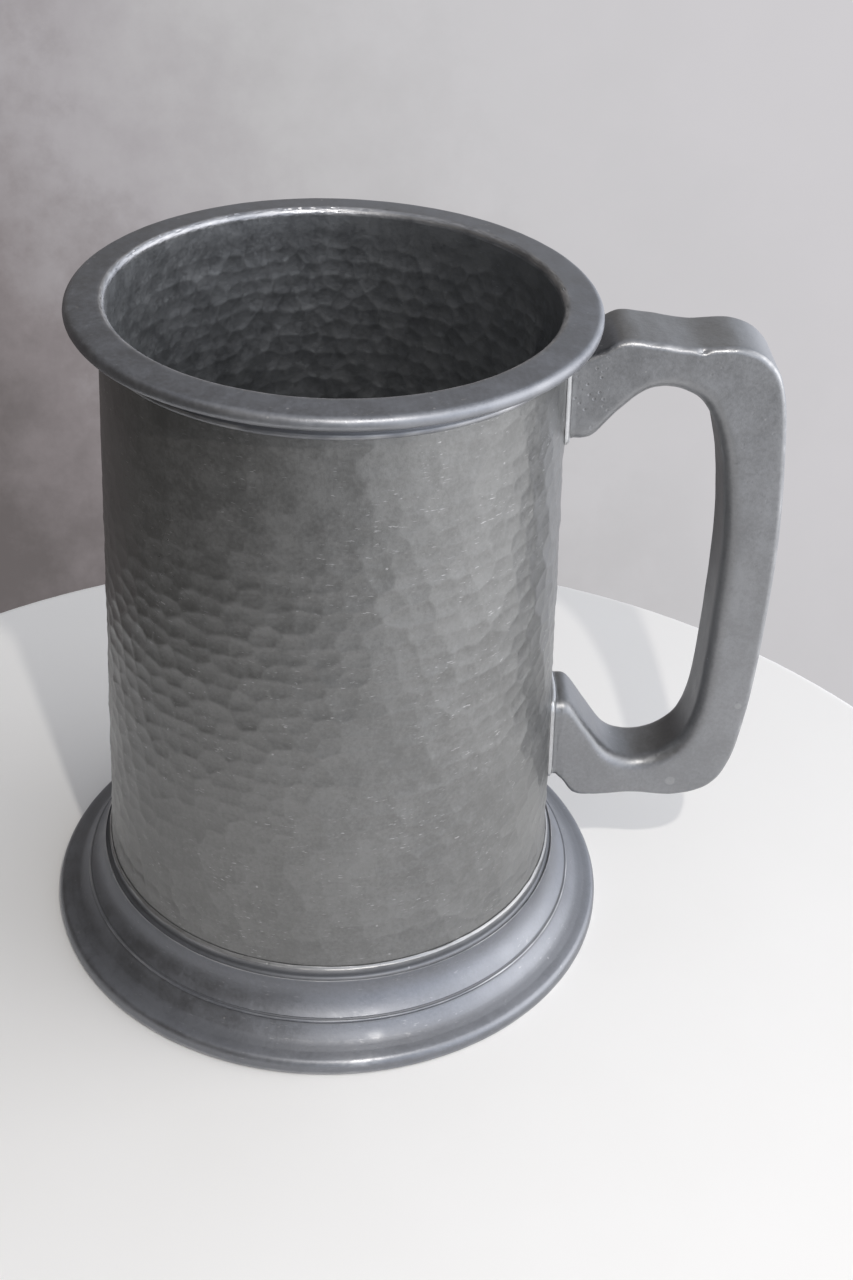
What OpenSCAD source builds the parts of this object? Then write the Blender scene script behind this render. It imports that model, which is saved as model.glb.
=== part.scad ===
// Pewter tankard of one pint: a hammered barrel that widens downwards, a broad turned lip,
// a flared hollow foot, a soldered-in floor and a flat-sided cast handle.
// Millimetres. The barrel stands on Z, the table is Z = 0 and the handle points along +X.

/* [Barrel] */
// Height from the table to the top of the lip
mug_h = 127.4; // [110:0.2:150]
// Outside diameter of the barrel at its upper end
barrel_top_d = 77.6; // [66:0.2:84]
// Outside diameter of the barrel at its lower end
barrel_bottom_d = 86.4; // [78:0.2:96]
// Thickness of the hammered sheet
barrel_wall = 1.3; // [0.9:0.1:2]

/* [Lip] */
// How far the lip stands out past the barrel
lip_overhang = 5.5; // [4:0.1:8]
// Thickness of the lip at its bore
lip_t = 2.9; // [2.4:0.1:4]
// Fall of the lip's top face from bore to edge
lip_fall = 0.3; // [0.1:0.05:0.6]
// Rounding between the lip's top face and its bore
lip_round = 1.1; // [0.6:0.1:1.2]
// Metal of the lip that covers the barrel's upper edge
lip_cap = 1.4; // [1.3:0.1:2]
// Height of the collar under the lip
neck_h = 4.1; // [3.4:0.1:6]
// Thickness of the collar under the lip
neck_wall = 0.7; // [0.5:0.1:1.2]
// Radius of the bead round the collar's lower edge
neck_bead_r = 0.7; // [0.5:0.05:0.9]
// Size of the cove between collar and lip
neck_cove = 1.6; // [0.8:0.1:2]

/* [Foot] */
// Height of the foot's upper crest
foot_h = 14.2; // [13:0.1:18]
// Thickness of the foot where it clasps the barrel
collar_wall = 1.4; // [1.2:0.1:2]
// Thickness of the sleeve that rises out of the groove
sleeve_wall = 0.45; // [0.3:0.05:0.6]
// Height of the sleeve above the crest
sleeve_h = 1.6; // [1:0.1:3]
// Depth of the groove below the crest
groove_depth = 0.4; // [0.2:0.1:1]
// How far the upper band flares
band_flare = 2.9; // [2:0.1:5]
// Height of the band's lower edge above the table
band_z = 8.5; // [7.6:0.1:9.4]
// Hollow of the band's cove
band_hollow = 0.8; // [0.3:0.1:1.1]
// Height of the step under the band
step_h = 0.9; // [0.5:0.1:1.3]
// Width of the step under the band
step_w = 0.6; // [0.3:0.1:1]
// How far the lower flange flares, up to the rim
flange_flare = 3.5; // [2.5:0.1:6]
// Hollow of the flange's cove
flange_hollow = 0.45; // [0.1:0.05:0.6]
// Height of the foot's rim
rim_h = 3.3; // [2.6:0.1:4]
// How far the rim stands out past the flange
rim_flare = 2.6; // [2.2:0.1:3.4]
// Bevel round the foot's lower edge
rim_bevel = 0.5; // [0.2:0.1:0.8]
// Thickness of the foot's shell
foot_wall = 1.5; // [1.2:0.1:1.7]

/* [Floor] */
// Thickness of the floor disc
floor_t = 1.6; // [1.2:0.1:2.4]
// Height of the ledge that carries the barrel and the floor
ledge_z = 10.8; // [10.4:0.1:11.6]
// Thickness of the ledge
ledge_t = 1.5; // [1:0.1:1.8]
// How far the floor disc lies on the ledge
ledge_lap = 3.4; // [2:0.1:6]

/* [Handle] */
// Clear space for the fingers between barrel and grip
finger_space = 28.6; // [24:0.2:36]
// Depth of the grip, away from the barrel
grip_depth = 9.8; // [8:0.1:12]
// Width of the casting from side to side, at its top
handle_top_w = 14; // [11:0.1:17]
// Width of the casting from side to side, at its bottom
handle_bottom_w = 12.6; // [10:0.1:16]
// Worn rounding along the casting's outer edges
edge_round = 1.6; // [0.6:0.1:2]
// Softer rounding along the edges that the fingers touch
inner_round = 2.8; // [0.6:0.1:3.2]
// Height of the pad at the upper joint
upper_pad_h = 15.1; // [12:0.1:20]
// Gap from the lip's collar down to the upper pad
upper_pad_gap = 1.4; // [1.2:0.1:4]
// Rise of the upper arm above the top of its pad
upper_arm_rise = 2.9; // [1:0.1:4]
// Depth of the upper arm
upper_arm_depth = 7.9; // [6:0.1:10]
// Rise of the thumb rest above the upper arm
thumb_rise = 1.3; // [0.5:0.1:2.5]
// Height of the lower pad's lower edge above the table
lower_pad_z = 31.4; // [28:0.2:40]
// Height of the pad at the lower joint
lower_pad_h = 17.2; // [12:0.1:20]
// Drop of the lower arm below the bottom of its pad
lower_arm_drop = 4.8; // [2:0.1:7]
// Depth of the lower arm
lower_arm_depth = 8.7; // [6:0.1:10]

/* [Solder] */
// Thickness of the solder under the handle's pads
pad_solder_t = 0.8; // [0.5:0.1:1.5]
// How far that solder shows round the pads
pad_solder_margin = 0.7; // [0.3:0.1:1.2]
// Size of the solder fillet round the floor
floor_fillet = 1.5; // [0.8:0.1:3]
// Height of the solder line on top of the foot's sleeve
foot_solder_h = 0.6; // [0.3:0.1:1.2]
// Clearance between curved faces that are soldered together
film = 0.05; // [0.02:0.01:0.1]

/* [Hidden] */
$fn = 96;
PEWTER = "#85878a";
SOLDER = "#a9acae";

// Barrel: radius of its outside and inside at height z
barrel_top_z = mug_h - lip_cap;
function barrel_r(z) =
    let (up = (z - ledge_z) / (barrel_top_z - ledge_z))
    barrel_bottom_d / 2 * (1 - up) + barrel_top_d / 2 * up;
function bore_r(z) = barrel_r(z) - barrel_wall;

// Lip: heights of its underside and of its collar's lower edge
lip_z = mug_h - lip_t;
neck_z = lip_z - neck_h;
lip_bore_r = bore_r(barrel_top_z);
neck_r = barrel_r(neck_z) + film + neck_wall;
lip_nose_r = (lip_t - lip_fall) / 2;
lip_nose_x = barrel_r(lip_z) + lip_overhang - lip_nose_r;

// Foot: radii from the barrel outwards
seat_r = barrel_r(ledge_z) + film;
sleeve_z = foot_h + sleeve_h;
sleeve_r = barrel_r(foot_h) + film + sleeve_wall;
crest_r = barrel_r(foot_h) + film + collar_wall;
crest_land = 0.35;
band_r = crest_r + band_flare;
flange_r = band_r + step_w;
flange_z = band_z - step_h;
valley_r = flange_r + flange_flare;
valley_depth = 0.1;
foot_r = valley_r + rim_flare;
hollow_r = valley_r - foot_wall / 2;
rim_nose_r = rim_h / 2;
floor_r = bore_r(ledge_z + floor_t) - film;
floor_z = ledge_z + floor_t;
ledge_r = floor_r - ledge_lap;

// Handle: heights of its pads and arms, and the grip's inner and outer face
upper_pad_top = neck_z - upper_pad_gap;
upper_pad_z = upper_pad_top - upper_pad_h;
upper_arm_top = upper_pad_top + upper_arm_rise;
upper_arm_z = upper_arm_top - upper_arm_depth;
lower_pad_top = lower_pad_z + lower_pad_h;
lower_arm_z = lower_pad_z - lower_arm_drop;
lower_arm_top = lower_arm_z + lower_arm_depth;
grip_mid_z = (upper_arm_z + lower_arm_top) / 2;
grip_x = barrel_r(grip_mid_z) + finger_space;
grip_out_x = grip_x + grip_depth;
function pad_face_r(z) = barrel_r(z) + pad_solder_t + film;
function along_upper(u) = pad_face_r(upper_pad_z) * (1 - u) + grip_x * u;
function along_lower(u) = pad_face_r(lower_pad_z) * (1 - u) + grip_x * u;

// The handle's outline, as pairs of one point inside the finger space and one on the outside,
// from the upper pad round the grip to the lower pad
handle_pairs = [
    [[pad_face_r(upper_pad_z), upper_pad_z], [pad_face_r(upper_pad_top), upper_pad_top]],
    [[along_upper(0.11), upper_pad_z + 0.7], [along_upper(0.12), upper_pad_top + 2]],
    [[along_upper(0.25), upper_arm_z - 4.6], [along_upper(0.25), upper_arm_top + thumb_rise * 0.9]],
    [[along_upper(0.4), upper_arm_z - 0.7], [along_upper(0.42), upper_arm_top + thumb_rise * 0.7]],
    [[along_upper(0.56), upper_arm_z], [along_upper(0.66), upper_arm_top]],
    [[along_upper(0.71), upper_arm_z - 1.8], [along_upper(0.92), upper_arm_top + 0.3]],
    [[grip_x - 5.6, upper_arm_z - 5.1], [grip_out_x - 6.9, upper_arm_top - 2.1]],
    [[grip_x - 3.7, upper_arm_z - 9.8], [grip_out_x - 3.7, upper_arm_top - 7.8]],
    [[grip_x - 1.9, upper_arm_z - 17.6], [grip_out_x - 1.6, upper_arm_top - 20.5]],
    [[grip_x - 0.3, grip_mid_z + 8], [grip_out_x - 0.1, grip_mid_z + 8]],
    [[grip_x, grip_mid_z - 11], [grip_out_x, grip_mid_z - 12]],
    [[grip_x - 0.5, lower_arm_top + 13.4], [grip_out_x - 0.7, lower_arm_z + 20]],
    [[grip_x - 2.1, lower_arm_top + 6], [grip_out_x - 2.4, lower_arm_z + 8.5]],
    [[grip_x - 4.9, lower_arm_top + 2.3], [grip_out_x - 5.7, lower_arm_z + 2.5]],
    [[along_lower(0.68), lower_arm_top + 0.4], [along_lower(0.91), lower_arm_z + 0.1]],
    [[along_lower(0.53), lower_arm_top], [along_lower(0.6), lower_arm_z + 0.4]],
    [[along_lower(0.37), lower_arm_top + 1.9], [along_lower(0.33), lower_arm_z - 0.3]],
    [[along_lower(0.22), lower_arm_top + 7.2], [along_lower(0.16), lower_arm_z + 0.1]],
    [[along_lower(0.07), lower_pad_top - 0.6], [along_lower(0.06), lower_pad_z - 1.6]],
    [[pad_face_r(lower_pad_top), lower_pad_top], [pad_face_r(lower_pad_z), lower_pad_z]]
];
function handle_w(z) =
    let (up = (z - lower_arm_z) / (upper_arm_top - lower_arm_z))
    handle_bottom_w * (1 - up) + handle_top_w * up;

// Point between b and c of the smooth curve through a, b, c and d
function smooth_point(a, b, c, d, t) =
    b + (c - a) * t / 2 + (2 * a - 5 * b + 4 * c - d) * t * t / 2
    + (3 * b - a - 3 * c + d) * t * t * t / 2;
function smooth_curve(p, steps) = let (last = len(p) - 1) [
    for (i = [0 : last - 1])
        for (k = [0 : steps - 1])
            smooth_point(p[max(i - 1, 0)], p[i], p[i + 1], p[min(i + 2, last)], k / steps),
    p[last]
];

// Rounded rectangle round the origin, as points: radius front at +x and back at -x
corner_steps = 4;
function rounded_section(depth, width, front, back) = [
    for (quarter = [0 : 3])
        let (ahead = quarter == 0 || quarter == 3)
        let (r = ahead ? front : back)
        for (k = [0 : corner_steps])
            let (turn = 90 * (quarter + k / corner_steps))
            [(ahead ? 1 : -1) * (depth / 2 - r) + r * cos(turn),
             (quarter < 2 ? 1 : -1) * (width / 2 - r) + r * sin(turn)]
];

// Ring of points across the handle between an inside and an outside point
function handle_ring(inside, outside) =
    let (middle = (inside + outside) / 2)
    let (depth = norm(outside - inside))
    let (across = (outside - inside) / depth)
    [for (s = rounded_section(depth, handle_w(middle[1]), edge_round, inner_round))
        [middle[0] + across[0] * s[0], s[1], middle[1] + across[1] * s[0]]];

// The same ring drawn in towards its middle and laid on the solder round the barrel
function pad_ring(inside, outside, size) =
    let (middle_z = (inside[1] + outside[1]) / 2)
    [for (p = handle_ring(inside, outside))
        let (y = p[1] * size)
        let (z = middle_z + (p[2] - middle_z) * size)
        [sqrt(pow(pad_face_r(z), 2) - y * y), y, z]];

// Closed skin over rings of equal count, each end drawn together in one point
function skin_points(rings) = [for (ring = rings) for (p = ring) p];
function skin_faces(rows, n) = [
    for (i = [0 : rows - 2])
        for (k = [0 : n - 1])
            let (a = i * n + k)
            let (b = i * n + (k + 1) % n)
            for (face = [[a, b, a + n], [b, b + n, a + n]]) face,
    for (k = [0 : n - 1]) [rows * n, (k + 1) % n, k],
    for (k = [0 : n - 1]) [rows * n + 1, (rows - 1) * n + k, (rows - 1) * n + (k + 1) % n]
];

// Circle that hollows out a straight edge from p to q, with its middle moved by depth
module cove(p, q, depth) {
    chord = norm(q - p);
    radius = (chord * chord / 4 + depth * depth) / (2 * depth);
    outwards = [p[1] - q[1], q[0] - p[0]] / chord;
    translate((p + q) / 2 + outwards * (radius - depth)) circle(radius);
}

module barrel() {
    color(PEWTER)
    rotate_extrude()
    polygon([
        [bore_r(ledge_z), ledge_z],
        [barrel_r(ledge_z), ledge_z],
        [barrel_r(barrel_top_z), barrel_top_z],
        [bore_r(barrel_top_z), barrel_top_z]
    ]);
}

module lip_profile() {
    nose_top = mug_h - lip_fall;
    difference() {
        polygon([
            [lip_bore_r, barrel_top_z],
            [barrel_r(barrel_top_z) + film, barrel_top_z],
            [barrel_r(neck_z) + film, neck_z],
            [neck_r, neck_z],
            [neck_r, lip_z - neck_cove],
            [neck_r + neck_cove, lip_z],
            [lip_nose_x, lip_z],
            [lip_nose_x, nose_top],
            [lip_bore_r + lip_round, mug_h],
            [lip_bore_r, mug_h - lip_round]
        ]);
        cove([neck_r + neck_cove, lip_z], [neck_r, lip_z - neck_cove], neck_cove * 0.25);
    }
    translate([lip_nose_x, lip_z + lip_nose_r]) circle(lip_nose_r);
    intersection() {
        translate([lip_bore_r + lip_round, mug_h - lip_round]) circle(lip_round);
        translate([lip_bore_r - lip_round, mug_h - lip_round]) square([4, 2] * lip_round);
    }
    intersection() {
        translate([neck_r - neck_bead_r / 2, neck_z + neck_bead_r]) circle(neck_bead_r);
        translate([neck_r - neck_wall / 2, neck_z]) square([neck_bead_r, 2 * neck_bead_r]);
    }
}

module lip_ring() {
    color(PEWTER) rotate_extrude() lip_profile();
}

module foot_profile() {
    crest = [crest_r, foot_h - crest_land];
    band_edge = [band_r, band_z];
    flange_edge = [flange_r, flange_z];
    valley = [valley_r, rim_h - valley_depth];
    difference() {
        polygon([
            [crest_r, ledge_z - ledge_t],
            [flange_r - foot_wall, flange_z - foot_wall],
            [valley_r - foot_wall / 4, rim_h / 4],
            [valley_r + foot_wall / 2, rim_h / 2],
            valley,
            flange_edge,
            band_edge,
            crest,
            [crest_r - crest_land, foot_h],
            [sleeve_r, foot_h - groove_depth],
            [barrel_r(sleeve_z) + film + sleeve_wall, sleeve_z],
            [barrel_r(sleeve_z) + film, sleeve_z],
            [seat_r, ledge_z],
            [ledge_r, ledge_z],
            [ledge_r, ledge_z - ledge_t]
        ]);
        cove(crest, band_edge, band_hollow);
        cove(flange_edge, valley, flange_hollow);
    }
    polygon([
        [hollow_r, 0],
        [foot_r - rim_bevel, 0],
        [foot_r, rim_bevel],
        [foot_r, rim_nose_r],
        [hollow_r, rim_nose_r]
    ]);
    translate([foot_r - rim_nose_r, rim_nose_r]) circle(rim_nose_r);
}

module foot_ring() {
    color(PEWTER) rotate_extrude() foot_profile();
}

module floor_disc() {
    color(PEWTER) translate([0, 0, ledge_z]) cylinder(r = floor_r, h = floor_t);
}

module handle() {
    curve = [for (side = [0, 1]) smooth_curve([for (pair = handle_pairs) pair[side]], 4)];
    last = len(curve[0]) - 1;
    sizes = [0.35, 0.7, 1];
    rings = concat(
        [for (s = sizes) pad_ring(curve[0][0], curve[1][0], s)],
        [for (i = [1 : last - 1]) handle_ring(curve[0][i], curve[1][i])],
        [for (k = [2 : -1 : 0]) pad_ring(curve[0][last], curve[1][last], sizes[k])]
    );
    upper_mid = upper_pad_z + upper_pad_h / 2;
    lower_mid = lower_pad_z + lower_pad_h / 2;
    ends = [[pad_face_r(upper_mid), 0, upper_mid], [pad_face_r(lower_mid), 0, lower_mid]];
    color(PEWTER)
    polyhedron(
        points = concat(skin_points(rings), ends),
        faces = skin_faces(len(rings), len(rings[0]))
    );
}

// Solder between the barrel and a handle pad that reaches from z0 to z1
module pad_solder(z0, z1) {
    low = z0 - pad_solder_margin;
    high = z1 + pad_solder_margin;
    middle = (z0 + z1) / 2;
    plate_w = handle_w(middle) + 2 * pad_solder_margin;
    plate_round = edge_round + pad_solder_margin;
    color(SOLDER)
    intersection() {
        rotate_extrude()
        polygon([
            [barrel_r(low) + film, low],
            [barrel_r(low) + pad_solder_t, low],
            [barrel_r(high) + pad_solder_t, high],
            [barrel_r(high) + film, high]
        ]);
        rotate([90, 0, 90])
        linear_extrude(grip_x)
        translate([0, middle])
        polygon(rounded_section(plate_w, high - low, plate_round, plate_round));
    }
}

module upper_handle_solder() {
    pad_solder(upper_pad_z, upper_pad_top);
}

module lower_handle_solder() {
    pad_solder(lower_pad_z, lower_pad_top);
}

module foot_solder() {
    color(SOLDER)
    rotate_extrude()
    polygon([
        [barrel_r(sleeve_z) + film, sleeve_z],
        [barrel_r(sleeve_z) + film + sleeve_wall * 0.9, sleeve_z],
        [barrel_r(sleeve_z + foot_solder_h) + film + sleeve_wall * 0.2, sleeve_z + foot_solder_h],
        [barrel_r(sleeve_z + foot_solder_h) + film, sleeve_z + foot_solder_h]
    ]);
}

module floor_solder() {
    fillet_z = floor_z + floor_fillet;
    inner = [bore_r(floor_z) - film - floor_fillet, floor_z + 0.1];
    outer = [bore_r(fillet_z) - film - 0.1, fillet_z];
    color(SOLDER)
    rotate_extrude()
    difference() {
        polygon([
            [inner[0], floor_z],
            [bore_r(floor_z) - film, floor_z],
            [bore_r(fillet_z) - film, fillet_z],
            outer,
            inner
        ]);
        cove(inner, outer, floor_fillet * 0.2);
    }
}

barrel();
lip_ring();
foot_ring();
floor_disc();
handle();
upper_handle_solder();
lower_handle_solder();
foot_solder();
floor_solder();
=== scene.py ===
"""Hammered pewter mug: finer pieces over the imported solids, with their looks, stage and light."""
import math

import bmesh
import bpy
import numpy as np
from mathutils import Matrix, Vector


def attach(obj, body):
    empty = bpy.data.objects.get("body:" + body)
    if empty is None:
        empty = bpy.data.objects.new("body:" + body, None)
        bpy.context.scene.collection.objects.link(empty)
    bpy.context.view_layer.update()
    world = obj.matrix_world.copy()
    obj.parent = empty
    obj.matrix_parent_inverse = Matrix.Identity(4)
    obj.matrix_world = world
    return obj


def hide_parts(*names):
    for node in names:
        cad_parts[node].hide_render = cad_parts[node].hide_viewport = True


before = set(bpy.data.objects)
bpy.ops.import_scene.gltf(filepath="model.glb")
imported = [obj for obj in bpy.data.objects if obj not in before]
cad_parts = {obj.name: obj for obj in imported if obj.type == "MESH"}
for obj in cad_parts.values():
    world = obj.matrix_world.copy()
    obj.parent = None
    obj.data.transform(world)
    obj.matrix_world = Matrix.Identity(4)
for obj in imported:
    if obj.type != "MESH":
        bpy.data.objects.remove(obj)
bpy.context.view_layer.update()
rng = np.random.default_rng(41)
MM = 0.001
TAU = 2 * math.pi

# Barrel and floor, in millimetres as in the part's source
MUG_H = 127.4
BARREL_TOP_R = 38.8
BARREL_BOTTOM_R = 43.2
BARREL_MEAN_R = (BARREL_TOP_R + BARREL_BOTTOM_R) / 2
BARREL_TOP_Z = 126.0
BARREL_WALL = 1.3
LEDGE_Z = 10.8
LEDGE_T = 1.5
LEDGE_LAP = 3.4
FLOOR_Z = 12.4
# Gap between neighbouring pieces
FILM = 0.05

# Lip, with its collar 0.7 shorter than in the source, as the photo has it
LIP_Z = 124.5
LIP_OVERHANG = 5.5
LIP_NOSE_R = 1.3
LIP_ROUND = 1.1
NECK_Z = 121.1
NECK_WALL = 0.7
NECK_BEAD_R = 0.7
NECK_COVE = 1.6

# Foot, with its step lower and its rim softer than in the source, as the photo has them
FOOT_H = 14.2
COLLAR_WALL = 1.4
SLEEVE_Z = 15.8
SLEEVE_WALL = 0.45
BAND_FLARE = 2.9
BAND_HOLLOW = 0.8
STEP_Z = 7.25
STEP_BEAD_R = 0.34
FLANGE_START = 3.5
FLANGE_END = 7.0
RIM_FLARE = 2.6
RIM_R = 1.65
RIM_BEVEL = 0.5
FOOT_WALL = 1.5

# Handle, with its outer edges rounded less than in the source
UPPER_PAD_Z, UPPER_PAD_TOP = 103.9, 119.0
UPPER_ARM_Z, UPPER_ARM_TOP = 114.0, 121.9
LOWER_PAD_Z, LOWER_PAD_TOP = 31.4, 48.6
LOWER_ARM_Z, LOWER_ARM_TOP = 26.6, 35.3
HANDLE_TOP_W, HANDLE_BOTTOM_W = 14.0, 12.6
FINGER_SPACE = 28.6
GRIP_DEPTH = 9.8
EDGE_ROUND = 1.25
INNER_ROUND = 2.8
THUMB_RISE = 1.3

# Solder, under the pads a little thinner in the looks than in the source
PAD_SOLDER_T = 0.8
PAD_SOLDER_LOOKS_T = 0.76
PAD_SOLDER_MARGIN = 0.7
FOOT_SOLDER_H = 0.6
FOOT_SOLDER_W = 0.4
FLOOR_SOLDER_SIZE = 1.5

# Points round a turned ring
RING_COLS = 480
HIDDEN_RING_COLS = 240


def barrel_r(z):
    """Outside radius of the barrel at a height."""
    up = (z - LEDGE_Z) / (BARREL_TOP_Z - LEDGE_Z)
    return BARREL_BOTTOM_R + (BARREL_TOP_R - BARREL_BOTTOM_R) * up


def smoothstep(low, high, x):
    """From 0 at low to 1 at high, level at both ends. With low above high it falls as x rises."""
    t = np.clip((x - low) / (high - low), 0, 1)
    return t * t * (3 - 2 * t)


def lattice_noise(u, v, nu, nv):
    """Smooth noise from -1 to 1 on u, which wraps at 1, and v from 0 to 1, with nu by nv cells."""
    table = rng.uniform(-1, 1, (nu, nv + 2))
    x, y = np.mod(u, 1) * nu, np.clip(v, 0, 1) * nv
    i, j = np.floor(x).astype(int), np.minimum(np.floor(y).astype(int), nv)
    fx, fy = x - i, y - j
    fx, fy = fx * fx * (3 - 2 * fx), fy * fy * (3 - 2 * fy)
    i, i2 = i % nu, (i + 1) % nu
    low = table[i, j] * (1 - fx) + table[i2, j] * fx
    high = table[i, j + 1] * (1 - fx) + table[i2, j + 1] * fx
    return low * (1 - fy) + high * fy


# Meshes
def grid_faces(rows, cols, close_rows):
    """Quads between rings of points, and from the last ring to the first with close_rows."""
    last = rows if close_rows else rows - 1
    i, j = np.meshgrid(np.arange(last), np.arange(cols), indexing="ij")
    i2, j2 = (i + 1) % rows, (j + 1) % cols
    quads = np.stack([i * cols + j, i * cols + j2, i2 * cols + j2, i2 * cols + j], -1)
    return quads.reshape(-1, 4).tolist()


def capped_faces(rows, cols):
    """Quads between rings of points, with a flat cap on the first and the last ring."""
    first, last = range(cols), range((rows - 1) * cols, rows * cols)
    return grid_faces(rows, cols, False) + [list(first)[::-1], list(last)]


def make_piece(name, points, faces, nodes, material, marks, face_marks=(), sharp_deg=35):
    """A closed piece from points in millimetres, riding on the root and standing for CAD nodes."""
    mesh = bpy.data.meshes.new(name)
    mesh.from_pydata((np.asarray(points).reshape(-1, 3) * MM).tolist(), [], faces)
    work = bmesh.new()
    work.from_mesh(mesh)
    bmesh.ops.recalc_face_normals(work, faces=work.faces)
    work.to_mesh(mesh)
    work.free()
    for domain, layers in (("POINT", marks), ("FACE", face_marks)):
        for mark, values in dict(layers).items():
            layer = mesh.attributes.new(mark, "FLOAT", domain)
            layer.data.foreach_set("value", np.ascontiguousarray(values, np.float32).ravel())
    mesh.shade_smooth()
    mesh.set_sharp_from_angle(angle=math.radians(sharp_deg))
    mesh.materials.append(material)
    piece = bpy.data.objects.new(name, mesh)
    bpy.context.scene.collection.objects.link(piece)
    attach(piece, "root")
    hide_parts(*nodes)


# Profiles
def arc(centre, radius, start_deg, end_deg, steps):
    """Points along an arc."""
    turn = np.radians(np.linspace(start_deg, end_deg, steps + 1))
    return [(centre[0] + radius * math.cos(t), centre[1] + radius * math.sin(t)) for t in turn]


def cove(p, q, depth, steps):
    """Points along an arc from p to q whose middle lies depth to the left of the straight line."""
    p, q = np.array(p), np.array(q)
    chord = np.linalg.norm(q - p)
    left = np.array([p[1] - q[1], q[0] - p[0]]) / chord
    t = np.linspace(0, 1, steps + 1)
    line = p + (q - p) * t[:, None] + left * (4 * depth * t * (1 - t))[:, None]
    return [tuple(x) for x in line]


def filleted(corners, step):
    """A closed profile from corners (x, z) or (x, z, radius), with each radius rounded in and
    straights longer than step divided."""
    least_bend, bend_step, most_of_side = 0.05, 0.3, 0.45
    flat = []
    neighbours = zip(corners[-1:] + corners[:-1], corners, corners[1:] + corners[:1])
    for before, here, after in neighbours:
        radius = here[2] if len(here) > 2 else 0
        p, a, b = (np.array(q[:2], float) for q in (here, before, after))
        side_a, side_b = np.linalg.norm(a - p), np.linalg.norm(b - p)
        to_a, to_b = (a - p) / side_a, (b - p) / side_b
        bend = math.acos(np.clip(-(to_a @ to_b), -1, 1))
        if radius == 0 or bend < least_bend:
            flat.append(p)
            continue
        reach = min(radius * math.tan(bend / 2), most_of_side * min(side_a, side_b))
        for k in np.linspace(0, 1, max(3, math.ceil(bend / bend_step)) + 1):
            flat.append(p + to_a * reach * (1 - k) ** 2 + to_b * reach * k ** 2)
    out = []
    for p, q in zip(flat, flat[1:] + flat[:1]):
        n = max(1, math.ceil(np.linalg.norm(q - p) / step))
        out += [p + (q - p) * k / n for k in range(n)]
    return np.array(out)


def bend_of(profile):
    """Curvature along a closed anticlockwise profile, in 1/mm: positive on outer corners."""
    before, after = profile - np.roll(profile, 1, 0), np.roll(profile, -1, 0) - profile
    turn = before[:, 0] * after[:, 1] - before[:, 1] * after[:, 0]
    along = (before * after).sum(1)
    length = (np.linalg.norm(before, axis=1) + np.linalg.norm(after, axis=1)) / 2
    bend = np.arctan2(turn, along) / length
    return np.convolve(np.concatenate([bend[-1:], bend, bend[:1]]), [0.25, 0.5, 0.25], "valid")


def outwards(profile):
    """Unit normals that point out of a closed anticlockwise profile."""
    along = np.roll(profile, -1, 0) - np.roll(profile, 1, 0)
    normal = np.stack([along[:, 1], -along[:, 0]], 1)
    return normal / np.linalg.norm(normal, axis=1)[:, None]


def turned_ring(name, profile, cols, nodes, material, shift, extra_bright=None, grime_and_shade=None):
    """A profile turned round Z, with worn outer edges, painted shade in its hollows, and any extra
    bright marks (wear, painted highlights) and dark marks (grime, painted shade) given.
    shift gives how far each point moves along its normal, in millimetres."""
    wear_bends, shade_bends, most_hollow_shade = (0.45, 1.5), (0.6, 2.2), 0.6
    rows = len(profile)
    u, v = np.meshgrid(np.arange(cols) / cols, np.arange(rows) / rows)
    move = shift(u, v, profile)
    normal = outwards(profile)
    r = profile[:, :1] + normal[:, :1] * move
    z = profile[:, 1:] + normal[:, 1:] * move
    points = np.stack([r * np.cos(u * TAU), r * np.sin(u * TAU), z], -1)
    bend = bend_of(profile)
    patchy = 0.7 + 0.35 * lattice_noise(u, v, 90, 12) + 0.3 * lattice_noise(u, v, 30, 6)
    wear_and_glint = smoothstep(*wear_bends, bend)[:, None] * patchy
    if extra_bright is not None:
        wear_and_glint = wear_and_glint + extra_bright(u, v, profile)
    # Painted shade: concave corners of the profile are darkened.
    dirt_and_shade = most_hollow_shade * smoothstep(*shade_bends, -bend)[:, None] * np.ones((1, cols))
    if grime_and_shade is not None:
        dirt_and_shade = dirt_and_shade + grime_and_shade(profile)
    marks = {"wear_and_glint": np.clip(wear_and_glint, 0, 1), "dirt_and_shade": np.clip(dirt_and_shade, 0, 1)}
    make_piece(name, points, grid_faces(rows, cols, True), nodes, material, marks)


# Materials
# Ramps hold their colours divided by this, so that those above white fit in
RAMP_SCALE = 2.0
# Bright metal for worn edges, specks and scuffs, and for painted highlights
WORN_AND_GLINT_METAL = (0.56, 0.56, 0.57, 1)
INSIDE_METAL = (0.485, 0.515, 0.565, 1)
# Dark colour for grime on the floor and solder, and for painted shade in hollows, under the lip and
# on the handle's inner face
GRIME_AND_SHADE = (0.07, 0.07, 0.068, 1)


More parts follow.
